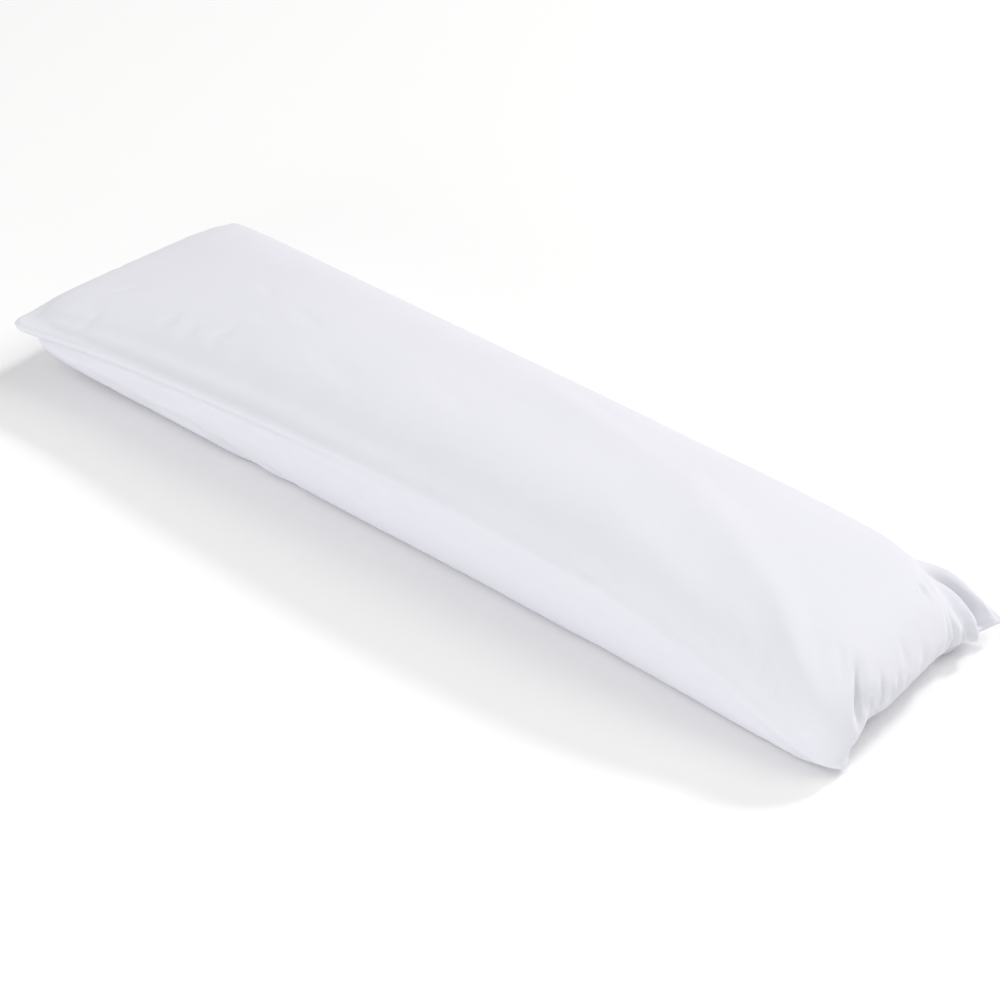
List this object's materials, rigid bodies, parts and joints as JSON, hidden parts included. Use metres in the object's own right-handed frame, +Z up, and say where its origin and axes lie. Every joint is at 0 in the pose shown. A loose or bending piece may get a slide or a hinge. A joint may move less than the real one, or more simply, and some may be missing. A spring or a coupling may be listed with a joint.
{
  "type": "body pillow",
  "caption": "Long rectangular body pillow: a filled white cotton cover, crowned, with drawn-in sides, a thin end, a blunt gathered end and corner ears.",
  "frame": {"origin": "centre of the footprint, on the plane that the underside rests on", "axes": "+X along the length towards the blunt end, +Y across towards the low side seam, +Z up through the thickness"},
  "size_m": [1.4538, 0.4552, 0.2147],
  "materials": {
    "cover_cotton": "smooth matt white cotton"
  },
  "bodies": {
    "root": {"pillow": "cover_cotton"}
  },
  "joints": []
}
